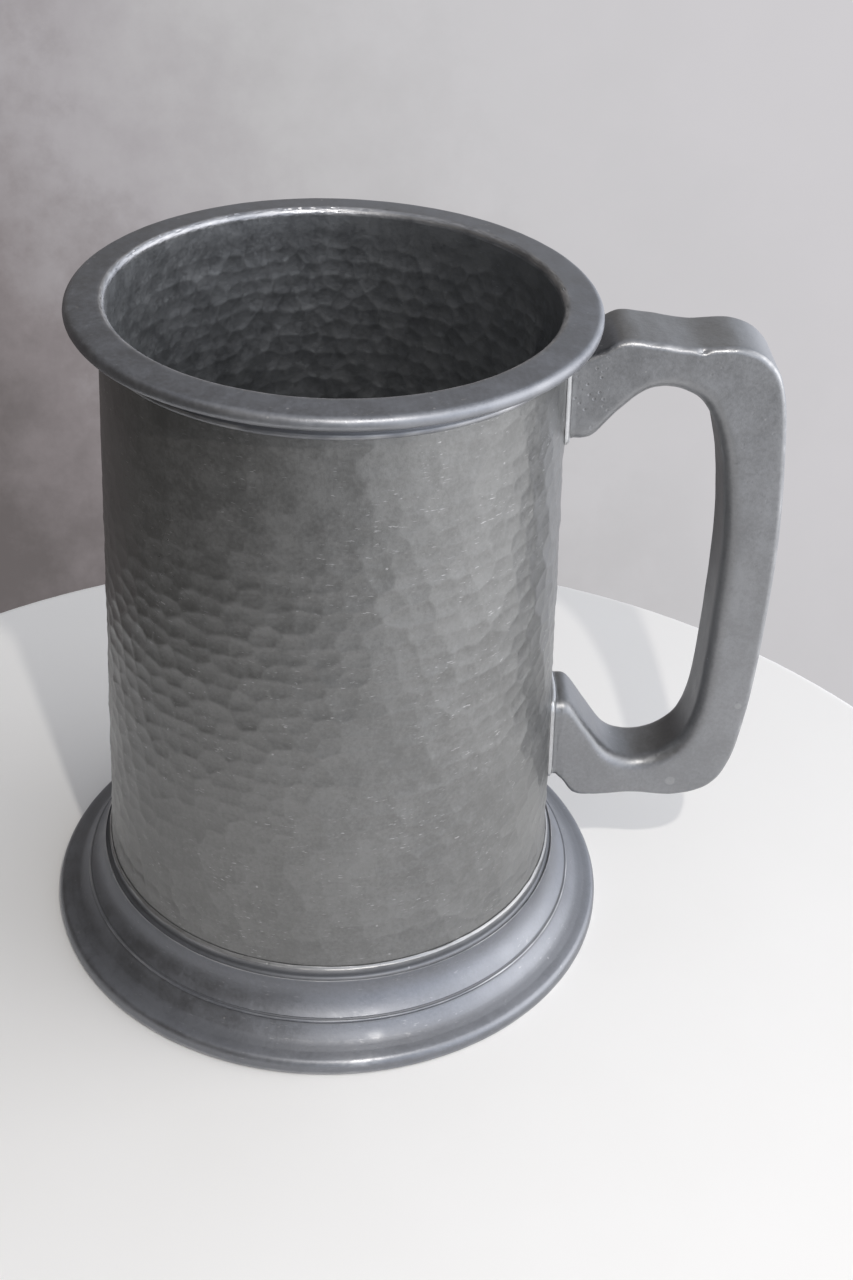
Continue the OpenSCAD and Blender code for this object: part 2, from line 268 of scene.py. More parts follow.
class Shader:
    """Short names for building a node material."""

    def __init__(self, name):
        self.material = bpy.data.materials.new(name)
        self.material.use_nodes = True
        self.tree = self.material.node_tree
        self.bsdf = self.tree.nodes["Principled BSDF"]

    def node(self, kind, inputs=(), **settings):
        made = self.tree.nodes.new(kind)
        for key, value in settings.items():
            setattr(made, key, value)
        for key, value in dict(inputs).items():
            self.put(made.inputs[key], value)
        return made

    def put(self, socket, value):
        """Links a socket to another, or sets its plain value."""
        if isinstance(value, bpy.types.NodeSocket):
            self.tree.links.new(value, socket)
        else:
            socket.default_value = value

    def math(self, operation, a, b=0.0, c=0.0, clamp=False):
        inputs = {0: a, 1: b, 2: c}
        made = self.node("ShaderNodeMath", inputs, operation=operation, use_clamp=clamp)
        return made.outputs[0]

    def remap(self, value, low, high, to_low=0.0, to_high=1.0):
        """A smooth step from to_low at low to to_high at high."""
        inputs = {"Value": value, "From Min": low, "From Max": high}
        inputs.update({"To Min": to_low, "To Max": to_high})
        return self.node("ShaderNodeMapRange", inputs, interpolation_type="SMOOTHSTEP").outputs[0]

    def noise(self, scale, detail=3.0, rough=0.55, vector=None):
        inputs = {"Scale": scale, "Detail": detail, "Roughness": rough}
        inputs["Vector"] = vector or self.where()
        return self.node("ShaderNodeTexNoise", inputs).outputs["Fac"]

    def dots(self, scale):
        """Scattered cells: the distance from each one's middle, and a chance drawn for each."""
        cells = self.node("ShaderNodeTexVoronoi", {"Vector": self.where(), "Scale": scale})
        chance = self.node("ShaderNodeSeparateColor", {0: cells.outputs["Color"]}).outputs[0]
        return cells.outputs["Distance"], chance

    def where(self):
        return self.node("ShaderNodeTexCoord").outputs["Object"]

    def stretched(self, scale):
        return self.node("ShaderNodeMapping", {"Vector": self.where(), "Scale": scale}).outputs[0]

    def mark(self, name):
        """A value that the mesh carries, zero where it has none."""
        return self.node("ShaderNodeAttribute", attribute_name=name).outputs["Fac"]

    def mix(self, share, a, b):
        made = self.node("ShaderNodeMix", data_type="RGBA")
        self.put(made.inputs["Factor"], share)
        self.put(made.inputs[6], a)
        self.put(made.inputs[7], b)
        return made.outputs[2]

    def ramp(self, value, low, high, stops):
        """Colours along a value, divided by RAMP_SCALE."""
        share = self.math("DIVIDE", self.math("SUBTRACT", value, low), high - low)
        made = self.node("ShaderNodeValToRGB", {0: share})
        stones = made.color_ramp.elements
        while len(stones) < len(stops):
            stones.new(0.5)
        for stone, (place, colour) in zip(stones, stops):
            stone.position = (place - low) / (high - low)
            stone.color = [c / RAMP_SCALE for c in colour] + [1]
        return made.outputs[0]

    def bump(self, height, distance):
        inputs = {"Height": height, "Distance": distance, "Strength": 1.0}
        return self.node("ShaderNodeBump", inputs).outputs[0]

    def spot(self, centre, radius, ragged):
        """A blotch round a place in millimetres, its edge broken up by a noise."""
        inputs = {0: self.where(), 1: [c * MM for c in centre]}
        far = self.node("ShaderNodeVectorMath", inputs, operation="DISTANCE").outputs["Value"]
        far = self.math("MULTIPLY_ADD", ragged, radius * MM, far)
        return self.remap(far, radius * MM * 1.55, radius * MM * 1.25)


def pewter(name, dark, light, rough, metal, grain, scuffs=0.0, pits=0.0, spots=()):
    """Aged pewter: patina in patches and fine speckle, bright specks, scuffs, worn edges and
    painted highlights, grime and painted shade that darken and dull it, a paler inside and cast
    pits. grain is the height of the fine relief in millimetres."""
    s = Shader(name)
    broad, close, fine = s.noise(38.0), s.noise(210.0, 4.0), s.noise(1300.0, 4.0, 0.65)

    # Patina
    patina = s.math("MULTIPLY_ADD", broad, 0.3, s.math("MULTIPLY", close, 0.3))
    patina = s.math("MULTIPLY_ADD", fine, 0.4, patina)
    patina = s.math("MULTIPLY_ADD", s.mark("facet"), 0.03, patina)
    colour = s.mix(s.remap(patina, 0.36, 0.64), dark, light)

    # Bright metal on specks, worn edges, scuffs and spots, and on painted highlights that come with
    # the wear mark
    far, chance = s.dots(330.0)
    speck = s.math("MULTIPLY", s.remap(far, 0.1, 0.02), s.math("GREATER_THAN", chance, 0.9))
    edge = s.math("MULTIPLY", s.mark("wear_and_glint"), s.remap(close, 0.3, 0.6, 0.45, 1.0), clamp=True)
    bright = s.math("MAXIMUM", edge, s.math("MULTIPLY", speck, 0.7))
    if scuffs:
        level_strokes = s.noise(1.0, 2.0, 0.6, s.stretched((640.0, 640.0, 2900.0)))
        patches = s.remap(s.noise(120.0, 2.0), 0.43, 0.59, 0.0, scuffs)
        strokes = s.math("MULTIPLY", s.remap(level_strokes, 0.63, 0.75), patches)
        bright = s.math("MAXIMUM", bright, strokes)
    for centre, radius, share in spots:
        spot = s.math("MULTIPLY", s.spot(centre, radius, close), share)
        bright = s.math("MAXIMUM", bright, spot)
    colour = s.mix(bright, colour, WORN_AND_GLINT_METAL)

    # Paler inside, and grime with painted shade in hollows
    colour = s.mix(s.math("MULTIPLY", s.mark("inside"), 0.32), colour, INSIDE_METAL)
    colour = s.mix(s.math("MULTIPLY", s.mark("dirt_and_shade"), 0.6), colour, GRIME_AND_SHADE)
    s.put(s.bsdf.inputs["Base Color"], colour)

    # Shine
    shine = s.math("MULTIPLY_ADD", s.mark("inside"), 0.1, metal)
    s.put(s.bsdf.inputs["Metallic"], s.math("MULTIPLY_ADD", bright, 0.95 - metal, shine))
    spread = s.remap(close, 0.3, 0.7, rough - 0.05, rough + 0.05)
    spread = s.math("ADD", spread, s.remap(fine, 0.3, 0.7, -0.04, 0.04))
    spread = s.math("MULTIPLY_ADD", bright, -0.12, spread)
    spread = s.math("MULTIPLY_ADD", s.mark("inside"), 0.13, spread)
    s.put(s.bsdf.inputs["Roughness"], s.math("MULTIPLY_ADD", s.mark("dirt_and_shade"), 0.15, spread))

    # Relief
    height = s.math("MULTIPLY_ADD", close, 0.8, fine)
    if pits:
        depth = s.math("MULTIPLY_ADD", s.mark("pitted"), 1.3, pits)
        far, chance = s.dots(1250.0)
        share = s.math("MULTIPLY_ADD", s.mark("pitted"), 0.4, 0.05)
        some = s.math("LESS_THAN", chance, share)
        holes = s.math("MULTIPLY", s.remap(far, 0.42, 0.15), some)
        height = s.math("SUBTRACT", height, s.math("MULTIPLY", holes, depth))
    s.put(s.bsdf.inputs["Normal"], s.bump(height, grain * MM))
    return s.material


HAMMERED = pewter("hammered_pewter", (0.186, 0.187, 0.185, 1), (0.251, 0.252, 0.25, 1),
                  rough=0.37, metal=0.83, grain=0.04, scuffs=0.7)
TURNED = pewter("turned_pewter", (0.222, 0.229, 0.248, 1), (0.272, 0.281, 0.306, 1),
                rough=0.48, metal=0.97, grain=0.03, scuffs=0.3)
CAST = pewter("cast_pewter", (0.262, 0.266, 0.276, 1), (0.332, 0.337, 0.35, 1),
              rough=0.42, metal=0.93, grain=0.04, pits=0.5,
              spots=[((65.8, -6.6, 30.5), 1.1, 0.2), ((76.5, -6.6, 48.9), 0.7, 0.2)])
SOLDER = pewter("solder", (0.43, 0.435, 0.44, 1), (0.56, 0.565, 0.57, 1),
                rough=0.4, metal=0.88, grain=0.05, pits=0.6)


# Hammered barrel
# Heights between which the barrel is hammered, outside and inside
OUTSIDE_SPAN, INSIDE_SPAN = (16.5, 120.3), (13.4, 124.9)
# Share to which the girth shrinks while cells are worked out, so that facets end up wider than tall
FACET_STRETCH = 0.85
# Share of a facet that is hollow, with its rounded edge outside
HOLLOW_SHARE = 0.78
# Facets' corners nearer than this are one, searched in squares of the second size
WELD, WELD_SQUARE = 0.004, 0.01
# Half the largest cell, and how many neighbours can cut it
CELL_REACH, CELL_NEIGHBOURS = 6, 24
BARREL_COLS = 240


def spiral_blows(low, high, along, pitch, uneven=1.0):
    """Hammer blows along a spiral: turn, height, depth and polish of each."""
    count = int(TAU * BARREL_MEAN_R / along * (high - low) / pitch)
    k = np.arange(count)
    step = along / BARREL_MEAN_R
    turn = np.mod(k * step + rng.normal(0, 0.17 * uneven * step, count), TAU)
    height = low + pitch * k * step / TAU + rng.normal(0, 0.14 * uneven * pitch, count)
    return turn, height, rng.normal(0, 0.02, count), rng.uniform(-1, 1, count)


def clipped(polygon, normal, limit):
    """The part of a convex polygon on the near side of a line."""
    side = polygon @ normal - limit
    if side.max() <= 0:
        return polygon
    kept = []
    for a, b, here, there in zip(polygon, np.roll(polygon, -1, 0), side, np.roll(side, -1)):
        if here <= 0:
            kept.append(a)
        if here * there < 0:
            kept.append(a + (b - a) * here / (here - there))
    return np.array(kept).reshape(-1, 2)


def hammered_skin(blows, low, high, face_r):
    """Hollow facets between two heights, one for each blow, that meet in ridges. face_r is the
    radius of the hammer's face. Gives points as turn, height and rise of the hollow, which of them
    are on ridges, the faces and their polish."""
    turn, height, depth, polish = blows
    scale = BARREL_MEAN_R * FACET_STRETCH
    length = TAU * scale
    across, lift = turn * scale, 2 * face_r * depth
    points, ridge, faces, shine, corners, middles = [], [], [], [], {}, {}

    def add(i, spot, on_ridge):
        rise = spot @ spot / (2 * face_r) - depth[i]
        points.append(((across[i] + spot[0]) % length, height[i] + spot[1], rise))
        ridge.append(on_ridge)
        return len(points) - 1

    def corner(i, spot):
        x, z = (across[i] + spot[0]) % length, height[i] + spot[1]
        x = x - length if x > length - WELD_SQUARE else x
        key = round(x / WELD_SQUARE), round(z / WELD_SQUARE)
        for near in [(key[0] + a, key[1] + b) for a in (-1, 0, 1) for b in (-1, 0, 1)]:
            for k, there_x, there_z in corners.get(near, ()):
                if abs(there_x - x) < WELD and abs(there_z - z) < WELD:
                    return k
        corners.setdefault(key, []).append((add(i, spot, True), x, z))
        return len(points) - 1

    def middle(i, first, second, spot):
        key = min(first, second), max(first, second)
        if key not in middles:
            middles[key] = add(i, spot, True)
        return middles[key]

    def cell(i):
        aside = np.mod(across - across[i] + length / 2, length) - length / 2
        away = np.stack([aside, height - height[i]], 1)
        far = (away ** 2).sum(1)
        polygon = CELL_REACH * np.array([[-1, -1], [1, -1], [1, 1], [-1, 1]], float)
        nearest = np.argsort(far)[1:CELL_NEIGHBOURS + 1]
        lines = [(2 * away[j], far[j] - lift[j] + lift[i]) for j in nearest]
        lines.append((np.array([0, 1.0]), high - height[i]))
        lines.append((np.array([0, -1.0]), height[i] - low))
        for normal, limit in lines:
            if len(polygon) > 2:
                polygon = clipped(polygon, normal, limit)
        return polygon

    for i in range(len(turn)):
        polygon = cell(i)
        if len(polygon) < 3:
            continue
        ring, spots = [], []
        for p, q in zip(polygon, np.roll(polygon, -1, 0)):
            first, second = corner(i, p), corner(i, q)
            if first != second:
                ring += [first, middle(i, first, second, (p + q) / 2)]
                spots += [p, (p + q) / 2]
        if len(ring) < 6:
            continue
        centre, start, n = polygon.mean(0), len(points), len(ring)
        for spot in spots:
            add(i, centre + (spot - centre) * HOLLOW_SHARE, False)
        add(i, centre, False)
        for k in range(n):
            m = (k + 1) % n
            faces.append([ring[k], ring[m], start + m, start + k])
            faces.append([start + k, start + m, start + n])
        shine += [polish[i]] * (2 * n)
    points = np.array(points)
    points[:, 0] /= scale
    return points, np.array(ridge), faces, shine


def stitch(first, first_turn, second, second_turn):
    """Triangles between two level rings of points, each in order of turn."""
    n, m = len(first), len(second)
    first_turn = np.append(first_turn, first_turn[0] + TAU)
    second_turn = np.append(second_turn, second_turn[0] + TAU)
    faces, i, j = [], 0, 0
    while i < n or j < m:
        a, b = int(first[i % n]), int(second[j % m])
        if j == m or (i < n and first_turn[i + 1] <= second_turn[j + 1]):
            i += 1
            faces.append([a, int(first[i % n]), b])
        else:
            j += 1
            faces.append([a, int(second[j % m]), b])
    return faces


def plain_at_pads(turn, z):
    """How much of the hammering is left near the handle's pads."""
    y = np.abs(np.sin(turn)) * BARREL_MEAN_R
    left = np.ones_like(z)
    for low, high in ((UPPER_PAD_Z, UPPER_PAD_TOP), (LOWER_PAD_Z, LOWER_PAD_TOP)):
        past = np.abs(z - (low + high) / 2) - (high - low) / 2
        beside, above = 1 - smoothstep(7.8, 10.0, y), 1 - smoothstep(0.8, 3.0, past)
        left = left * (1 - beside * above * (np.cos(turn) > 0))
    return left


def outside_depth(turn, z):
    """How much of the hammering is left outside: none right above the foot, less at the top, least
    of all away from the handle, and a little less at the front."""
    left, front = 0.5 - 0.5 * np.cos(turn), np.maximum(-np.sin(turn), 0)
    above_foot = smoothstep(16.6, 19.5, z)
    worn_top = (0.4 + 0.45 * left) * smoothstep(100 - 26 * left, 119 - 10 * left, z)
    worn_front = 0.25 * front ** 4
    return above_foot * (1 - worn_top) * (1 - worn_front) * plain_at_pads(turn, z)


def inside_depth(z):
    """How much of the hammering is left inside, up to the lip."""
    return 1 - smoothstep(118.5, 124.5, z)


def barrel_piece():
    outside_blows = spiral_blows(low=8, high=130, along=4.5, pitch=3.4)
    outside = hammered_skin(outside_blows, *OUTSIDE_SPAN, face_r=13.0)
    inside_blows = spiral_blows(low=6, high=134, along=3.6, pitch=3.1, uneven=1.25)
    inside = hammered_skin(inside_blows, *INSIDE_SPAN, face_r=11.0)
    ridge_wear = 0.03
    points, faces, shine, wear_and_glint, inner, borders, start = [], [], [], [], [], [], 0
    sides = zip((outside, inside), (OUTSIDE_SPAN, INSIDE_SPAN))
    for side, ((turn_z_rise, ridge, skin_faces, polish), span) in enumerate(sides):
        turn, z, rise = turn_z_rise.T
        sunk = np.maximum(np.quantile(rise[ridge], 0.98) - rise, 0)
        if side == 0:
            depth = outside_depth(turn, z)
            r = barrel_r(z) - sunk * depth
        else:
            depth = inside_depth(z)
            r = barrel_r(z) - BARREL_WALL + sunk * depth
        points.append(np.stack([r * np.cos(turn), r * np.sin(turn), z], 1))
        wear_and_glint.append(ridge_wear * ridge * depth)
        inner.append(np.full(len(z), float(side)))
        faces += [[k + start for k in face] for face in skin_faces]
        shine += polish
        for level in span:
            on = np.flatnonzero(np.abs(z - level) < 1e-6)
            on = on[np.argsort(turn[on])]
            borders.append((on + start, turn[on]))
        start += len(z)
    even = np.arange(BARREL_COLS) * TAU / BARREL_COLS
    rings = []
    for side, wall in enumerate((0, BARREL_WALL)):
        for level in (LEDGE_Z, BARREL_TOP_Z):
            r = barrel_r(level) - wall
            ring = [r * np.cos(even), r * np.sin(even), np.full(BARREL_COLS, level)]
            points.append(np.stack(ring, 1))
            wear_and_glint.append(np.zeros(BARREL_COLS))
            inner.append(np.full(BARREL_COLS, float(side)))
            rings.append((np.arange(BARREL_COLS) + start, even))
            start += BARREL_COLS
    for border, ring in zip(borders, rings):
        faces += stitch(*border, *ring)
    faces += stitch(*rings[0], *rings[2]) + stitch(*rings[1], *rings[3])
    shine += [0.0] * (len(faces) - len(shine))
    marks = {"wear_and_glint": np.concatenate(wear_and_glint), "inside": np.concatenate(inner)}
    make_piece("barrel_hammered", np.concatenate(points), faces, ["barrel"],
               HAMMERED, marks, {"facet": shine}, sharp_deg=24)


# Lip
def lip_piece():
    bore = BARREL_TOP_R - BARREL_WALL
    neck_in = barrel_r(NECK_Z) + FILM
    neck_r = neck_in + NECK_WALL
    bead = (neck_r - NECK_BEAD_R / 2, NECK_Z + NECK_BEAD_R)
    nose = (barrel_r(LIP_Z) + LIP_OVERHANG - LIP_NOSE_R, LIP_Z + LIP_NOSE_R)
    corners = [(bore, BARREL_TOP_Z), (BARREL_TOP_R + FILM, BARREL_TOP_Z), (neck_in, NECK_Z)]
    corners += arc(bead, NECK_BEAD_R, -70, 50, 8)
    corners += [(neck_r, NECK_Z + 1.5, 0.3)]
    corners += cove((neck_r, LIP_Z - NECK_COVE), (neck_r + NECK_COVE, LIP_Z), 0.4, 8)
    corners += arc(nose, LIP_NOSE_R, -90, 83, 18)
    corners += arc((bore + LIP_ROUND, MUG_H - LIP_ROUND), LIP_ROUND, 90, 180, 12)
    profile = filleted(corners, 0.5)
    low, high = profile[:, 1].min(), profile[:, 1].max()

    def shift(u, v, points):
        r, z = points[:, :1], points[:, 1:]
        wave = 0.04 * lattice_noise(u, v, 26, 3) + 0.015 * lattice_noise(u, v, 120, 16) - 0.06
        rounding = smoothstep(bore + 1.6, bore + 0.5, r) * smoothstep(high - 1.3, high - 0.7, z)
        nicks = np.maximum(lattice_noise(u, v, 420, 90) - 0.4, 0) * 0.3
        off_bore = smoothstep(bore + 0.2, bore + 1, r)
        open_face = np.maximum(off_bore, smoothstep(high - 1.2, high - 0.5, z))
        return wave * smoothstep(low, low + 2, z) * open_face - nicks * rounding

    def bright(u, v, points):
        r, z = points[:, :1], points[:, 1:]
        rounding = smoothstep(bore + 1.5, bore + 0.5, r) * smoothstep(high - 1.4, high - 0.4, z)
        neck = smoothstep(NECK_Z + 2.5, NECK_Z + 1.5, z)
        return 0.5 * rounding * (0.7 + 0.6 * lattice_noise(u, v, 260, 60)) - 0.3 * neck

    def grime_and_shade(points):
        # Painted shade under the lip's overhang: the cove and collar below the nose are darkened.
        return 0.3 * smoothstep(LIP_Z + 0.3, LIP_Z - 0.5, points[:, 1:])

    turned_ring("lip_turned", profile, RING_COLS, ["lip_ring"], TURNED, shift,
                bright, grime_and_shade)


# Foot
# Two bright patches at the front of the foot, painted highlights where the front lamp glints on the
# rim and the flange: turn as a share of the round, height, width and tallness
GLINT_PATCHES = ((0.7708, 2.7, 0.01, 0.5), (0.7797, 5.0, 0.004, 0.5))


def foot_piece():
    sleeve_in = barrel_r(SLEEVE_Z) + FILM
    sleeve_r = barrel_r(FOOT_H) + FILM + SLEEVE_WALL
    crest_r = barrel_r(FOOT_H) + FILM + COLLAR_WALL
    band_r, flange_r = crest_r + BAND_FLARE, crest_r + FLANGE_START
    valley_r = crest_r + FLANGE_END
    foot_r = valley_r + RIM_FLARE
    ledge_r = barrel_r(FLOOR_Z) - BARREL_WALL - FILM - LEDGE_LAP
    hollow_r = valley_r - FOOT_WALL / 2
    ledge_under = LEDGE_Z - LEDGE_T
    # Rim, flange, step, band and sleeve
    corners = [(foot_r - RIM_BEVEL, 0, 0.3), (foot_r, RIM_BEVEL, 0.3)]
    corners += arc((foot_r - RIM_R, RIM_R), RIM_R, 0, 68, 12) + [(valley_r + 0.2, 3.68, 3.0)]
    corners += cove((valley_r, 3.4), (flange_r + 0.02, STEP_Z - 0.43), 0.25, 14)[5:]
    corners += [(flange_r - 0.08, STEP_Z - 0.32)]
    corners += arc((band_r + 0.28, STEP_Z), STEP_BEAD_R, -25, 105, 7)
    corners += [(band_r + 0.02, STEP_Z + 0.44)]
    corners += cove((band_r, STEP_Z + 0.62), (crest_r, FOOT_H - 0.35), BAND_HOLLOW, 16)
    corners += [(crest_r - 0.03, FOOT_H - 0.03, 0.3), (crest_r - 0.3, FOOT_H - 0.05, 0.15)]
    corners += cove((crest_r - 0.42, FOOT_H - 0.18), (sleeve_r + 0.02, FOOT_H + 0.7), 0.2, 6)
    corners += [(sleeve_in + SLEEVE_WALL, SLEEVE_Z, 0.1), (sleeve_in, SLEEVE_Z)]
    # Ledge and hollow underside
    corners += [(barrel_r(LEDGE_Z) + FILM, LEDGE_Z), (ledge_r, LEDGE_Z)]
    corners += [(ledge_r, ledge_under, 0.3), (crest_r, ledge_under, 0.8)]
    corners += [(flange_r - FOOT_WALL, 6.1, 0.8), (hollow_r, 1.25, 0.5), (hollow_r, 0, 0.3)]
    profile = filleted(corners, 1.0)
    outside = smoothstep(crest_r - 2.0, crest_r - 1.0, profile[:, :1])
    outside = outside * smoothstep(0.1, 1.0, profile[:, 1:])

    def shift(u, v, points):
        wave = 0.05 * lattice_noise(u, v, 24, 3) + 0.015 * lattice_noise(u, v, 110, 16)
        return (wave - 0.07) * outside

    def bright(u, v, points):
        from_step = points[:, 1:] - STEP_Z
        bead = smoothstep(-0.7, -0.3, from_step) * smoothstep(0.7, 0.3, from_step)
        rubbed_and_glints = -0.6 * bead * (0.8 + 0.4 * lattice_noise(u, v, 40, 6))
        # Painted highlights: patches in the worn metal's colour where the front lamp glints.
        for turn, z, wide, tall in GLINT_PATCHES:
            glint = np.exp(-((u - turn) / wide) ** 2 - ((points[:, 1:] - z) / tall) ** 2)
            rubbed_and_glints = rubbed_and_glints + 0.9 * glint * (0.7 + 0.6 * lattice_noise(u, v, 400, 60))
        return rubbed_and_glints

    def grime_and_shade(points):
        z = points[:, 1:]
        # Painted shade: the valley before the rim and the groove above the crest are darkened.
        by_rim = 0.36 * smoothstep(2.9, 3.7, z) * smoothstep(5.4, 4.0, z)
        in_groove = 0.6 * smoothstep(FOOT_H - 0.05, FOOT_H + 0.3, z)
        return (by_rim + in_groove) * outside

    turned_ring("foot_turned", profile, RING_COLS, ["foot_ring"], TURNED, shift,
                bright, grime_and_shade)


# Floor and its solder
def floor_piece():
    rows, cols = 56, 180
    reach, spacing = 45, 5.0
    radius = barrel_r(FLOOR_Z) - BARREL_WALL - FILM
    r = np.linspace(radius, 0.02, rows)
    turn = np.arange(cols) * TAU / cols
    x, y = r[:, None] * np.cos(turn), r[:, None] * np.sin(turn)
    marks_along = np.arange(-reach, reach + 1, spacing)
    places = np.stack(np.meshgrid(marks_along, marks_along), -1).reshape(-1, 2)
    places = places + rng.normal(0, 0.9, places.shape)
    face_r = rng.uniform(24, 44, len(places))
    hollows = [((x - p[0]) ** 2 + (y - p[1]) ** 2) / (2 * f) for p, f in zip(places, face_r)]
    field = np.min(hollows, 0)
    sunk = np.maximum(np.quantile(field, 0.99) - field, 0) * smoothstep(0, 3, radius - r)[:, None]
    top = np.stack([x, y, FLOOR_Z - sunk], -1)
    under = np.stack([x, y, np.full_like(x, LEDGE_Z)], -1)[::-1]
    points = np.concatenate([under, top])
    zero = np.zeros((2 * rows, cols))
    marks = {"wear_and_glint": zero, "dirt_and_shade": zero + 0.25, "inside": zero + 1}
    make_piece("floor_hammered", points, capped_faces(2 * rows, cols), ["floor_disc"],
               HAMMERED, marks)


def floor_solder_piece():
    toe = 0.1
    wall_r = barrel_r(FLOOR_Z) - BARREL_WALL - FILM
    top_z = FLOOR_Z + FLOOR_SOLDER_SIZE
    top_r = barrel_r(top_z) - BARREL_WALL - FILM
    inner = (wall_r - FLOOR_SOLDER_SIZE, FLOOR_Z + toe)
    outer = (top_r - toe, top_z)
    corners = [(inner[0], FLOOR_Z), (wall_r, FLOOR_Z), (top_r, top_z)]
    profile = filleted(corners + cove(outer, inner, -0.3, 10), 0.3)

    def shift(u, v, points):
        r, z = points[:, :1], points[:, 1:]
        open_side = smoothstep(0.05, 0.4, z - FLOOR_Z) * smoothstep(0.02, 0.3, top_r - r)
        return open_side * (0.08 * lattice_noise(u, v, 70, 4) - 0.06)

    turned_ring("floor_solder_fillet", profile, HIDDEN_RING_COLS, ["floor_solder"],
                SOLDER, shift)


def foot_solder_piece():
    high = SLEEVE_Z + FOOT_SOLDER_H
    low_r, high_r = barrel_r(SLEEVE_Z) + FILM, barrel_r(high) + FILM
    out_r = low_r + FOOT_SOLDER_W
    corners = [(low_r, SLEEVE_Z), (out_r, SLEEVE_Z)]
    corners += cove((out_r, SLEEVE_Z + 0.05), (high_r + 0.06, high), -0.05, 6)
    profile = filleted(corners + [(high_r, high)], 0.12)

    def shift(u, v, points):
        uneven = 0.06 * lattice_noise(u, v, 110, 3) + 0.05 * lattice_noise(u, v, 34, 2) - 0.09
        return uneven * smoothstep(SLEEVE_Z + 0.05, SLEEVE_Z + 0.2, points[:, 1:])

    def grime_and_shade(points):
        return 0.55

    turned_ring("foot_solder_line", profile, RING_COLS, ["foot_solder"], SOLDER, shift,
                grime_and_shade=grime_and_shade)


# Handle
GRIP_MID_Z = (UPPER_ARM_Z + LOWER_ARM_TOP) / 2
GRIP_X = barrel_r(GRIP_MID_Z) + FINGER_SPACE
GRIP_OUT_X = GRIP_X + GRIP_DEPTH
# Cast flaw on the thumb rest, and middle and reach of the pitted area by the upper joint
FLAW, FLAW_R = (60.7, -6.6, 121.6), 0.6
PITTED_X, PITTED_Z = 42.5, 114
PITTED_WIDE, PITTED_TALL = 3.2, 7.5


def pad_face_r(z):
    """Distance of the pads' faces from the barrel's axis at a height."""
    return barrel_r(z) + PAD_SOLDER_T + FILM


def along_upper(u):
    """A place along the upper arm, from the pad at 0 to the grip at 1."""
    return pad_face_r(UPPER_PAD_Z) * (1 - u) + GRIP_X * u


def along_lower(u):
    """A place along the lower arm, from the pad at 0 to the grip at 1."""
    return pad_face_r(LOWER_PAD_Z) * (1 - u) + GRIP_X * u


def handle_w(z):
    """Width of the casting from side to side at a height."""
    up = (z - LOWER_ARM_Z) / (UPPER_ARM_TOP - LOWER_ARM_Z)
    return HANDLE_BOTTOM_W + (HANDLE_TOP_W - HANDLE_BOTTOM_W) * up


# Outlines of the handle seen from the side, from the upper pad to the lower, point for point
HANDLE_INSIDE = [
    (pad_face_r(UPPER_PAD_Z), UPPER_PAD_Z), (along_upper(0.11), UPPER_PAD_Z + 0.7),
    (along_upper(0.25), UPPER_ARM_Z - 4.6), (along_upper(0.4), UPPER_ARM_Z - 0.7),
    (along_upper(0.56), UPPER_ARM_Z), (along_upper(0.71), UPPER_ARM_Z - 1.8),
    (GRIP_X - 5.6, UPPER_ARM_Z - 5.1), (GRIP_X - 3.7, UPPER_ARM_Z - 9.8),
    (GRIP_X - 1.9, UPPER_ARM_Z - 17.6), (GRIP_X - 0.3, GRIP_MID_Z + 8),
    (GRIP_X, GRIP_MID_Z - 11), (GRIP_X - 0.5, LOWER_ARM_TOP + 13.4),
    (GRIP_X - 2.1, LOWER_ARM_TOP + 6), (GRIP_X - 4.9, LOWER_ARM_TOP + 2.3),
    (along_lower(0.68), LOWER_ARM_TOP + 0.4), (along_lower(0.53), LOWER_ARM_TOP),
    (along_lower(0.37), LOWER_ARM_TOP + 1.9), (along_lower(0.22), LOWER_ARM_TOP + 7.2),
    (along_lower(0.07), LOWER_PAD_TOP - 0.6), (pad_face_r(LOWER_PAD_TOP), LOWER_PAD_TOP),
]
HANDLE_OUTSIDE = [
    (pad_face_r(UPPER_PAD_TOP), UPPER_PAD_TOP), (along_upper(0.12), UPPER_PAD_TOP + 2),
    (along_upper(0.25), UPPER_ARM_TOP + THUMB_RISE * 0.9),
    (along_upper(0.42), UPPER_ARM_TOP + THUMB_RISE * 0.7),
    (along_upper(0.66), UPPER_ARM_TOP), (along_upper(0.92), UPPER_ARM_TOP + 0.3),
    (GRIP_OUT_X - 6.9, UPPER_ARM_TOP - 2.1), (GRIP_OUT_X - 3.7, UPPER_ARM_TOP - 7.8),
    (GRIP_OUT_X - 1.6, UPPER_ARM_TOP - 20.5), (GRIP_OUT_X - 0.1, GRIP_MID_Z + 8),
    (GRIP_OUT_X, GRIP_MID_Z - 12), (GRIP_OUT_X - 0.7, LOWER_ARM_Z + 20),
    (GRIP_OUT_X - 2.4, LOWER_ARM_Z + 8.5), (GRIP_OUT_X - 5.7, LOWER_ARM_Z + 2.5),
    (along_lower(0.91), LOWER_ARM_Z + 0.1), (along_lower(0.6), LOWER_ARM_Z + 0.4),
    (along_lower(0.33), LOWER_ARM_Z - 0.3), (along_lower(0.16), LOWER_ARM_Z + 0.1),
    (along_lower(0.06), LOWER_PAD_Z - 1.6), (pad_face_r(LOWER_PAD_Z), LOWER_PAD_Z),
]


def smooth_curve(points, steps):
    """A curve through all the points, with steps pieces between each two."""
    p = np.array(points)
    p = np.concatenate([p[:1], p, p[-1:]])
    t = np.arange(steps)[:, None] / steps
    out = []
    for a, b, c, d in zip(p, p[1:], p[2:], p[3:]):
        square, cube = 2 * a - 5 * b + 4 * c - d, 3 * b - a - 3 * c + d
        out.append(b + (c - a) * t / 2 + square * t ** 2 / 2 + cube * t ** 3 / 2)
    return np.concatenate(out + [p[-1:]])


